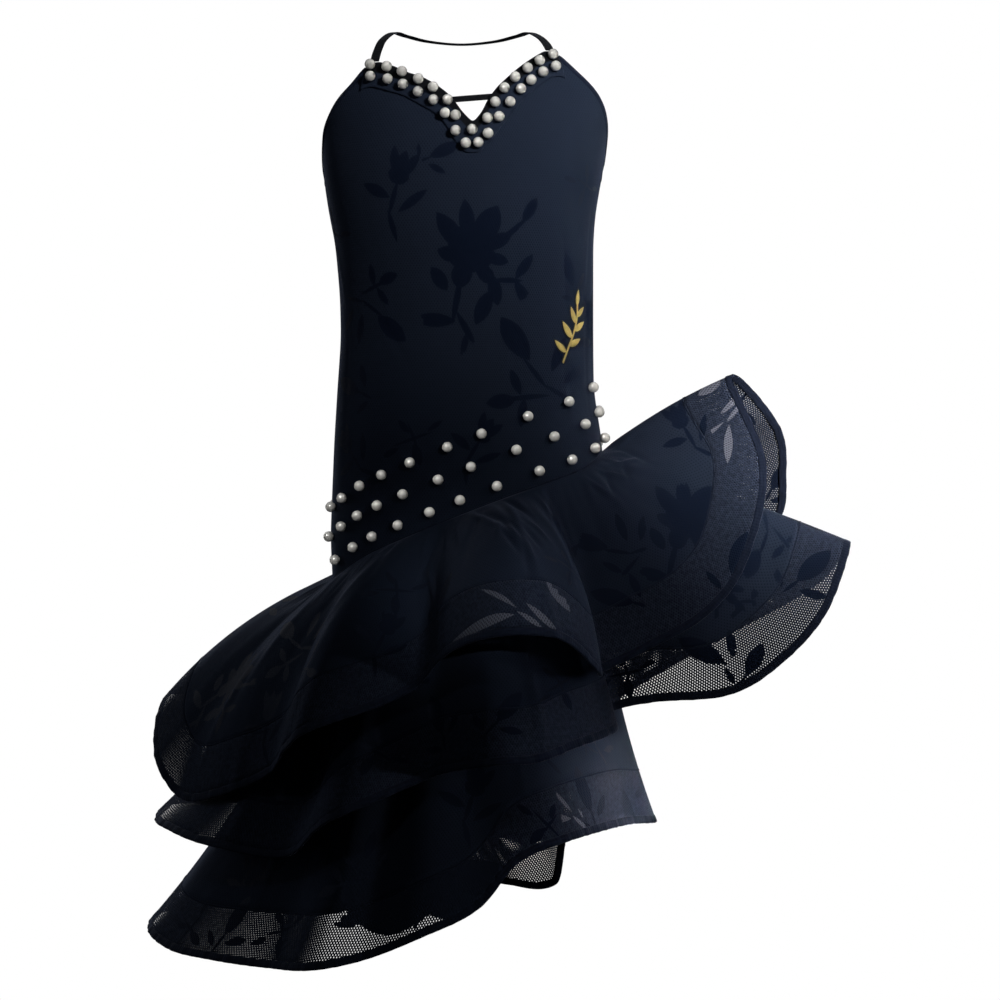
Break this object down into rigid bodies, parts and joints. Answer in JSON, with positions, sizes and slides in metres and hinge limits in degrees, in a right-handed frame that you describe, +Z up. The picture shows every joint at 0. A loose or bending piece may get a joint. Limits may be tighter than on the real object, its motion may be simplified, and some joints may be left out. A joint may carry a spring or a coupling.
{
  "type": "latin dance dress",
  "caption": "Sleeveless halter dance dress with a beaded neckline, a slanting beaded hip seam and three tiers of waved, net-edged flounces.",
  "frame": {"origin": "middle of the neck strap's loop, at the level of the strap's top, where the wearer's neck carries the dress", "axes": "+Z up along the wearer's spine, -Y out of the dress's front, +X to the right in the front view, which is the side where the flounces stand highest"},
  "size_m": [0.6692, 0.4913, 0.8652],
  "materials": {
    "burnout_cloth": "soft satin sheen, navy with tone-on-tone sprigs",
    "neck_trim": "matt black ribbon",
    "horsehair_net": "stiff open net, half see-through",
    "satin_binding": "satin",
    "pearl": "pearlescent, silver-white",
    "gold_thread": "metallic embroidery thread"
  },
  "bodies": {
    "root": {"bodice_front": "burnout_cloth", "bodice_back": "burnout_cloth", "neck_band": "neck_trim", "neck_bar": "satin_binding", "halter_strap": "satin_binding", "flounce_upper": "burnout_cloth", "net_upper": "horsehair_net", "binding_upper": "satin_binding", "flounce_middle": "burnout_cloth", "net_middle": "horsehair_net", "binding_middle": "satin_binding", "flounce_lower": "burnout_cloth", "net_lower": "horsehair_net", "binding_lower": "satin_binding"}
  },
  "joints": []
}
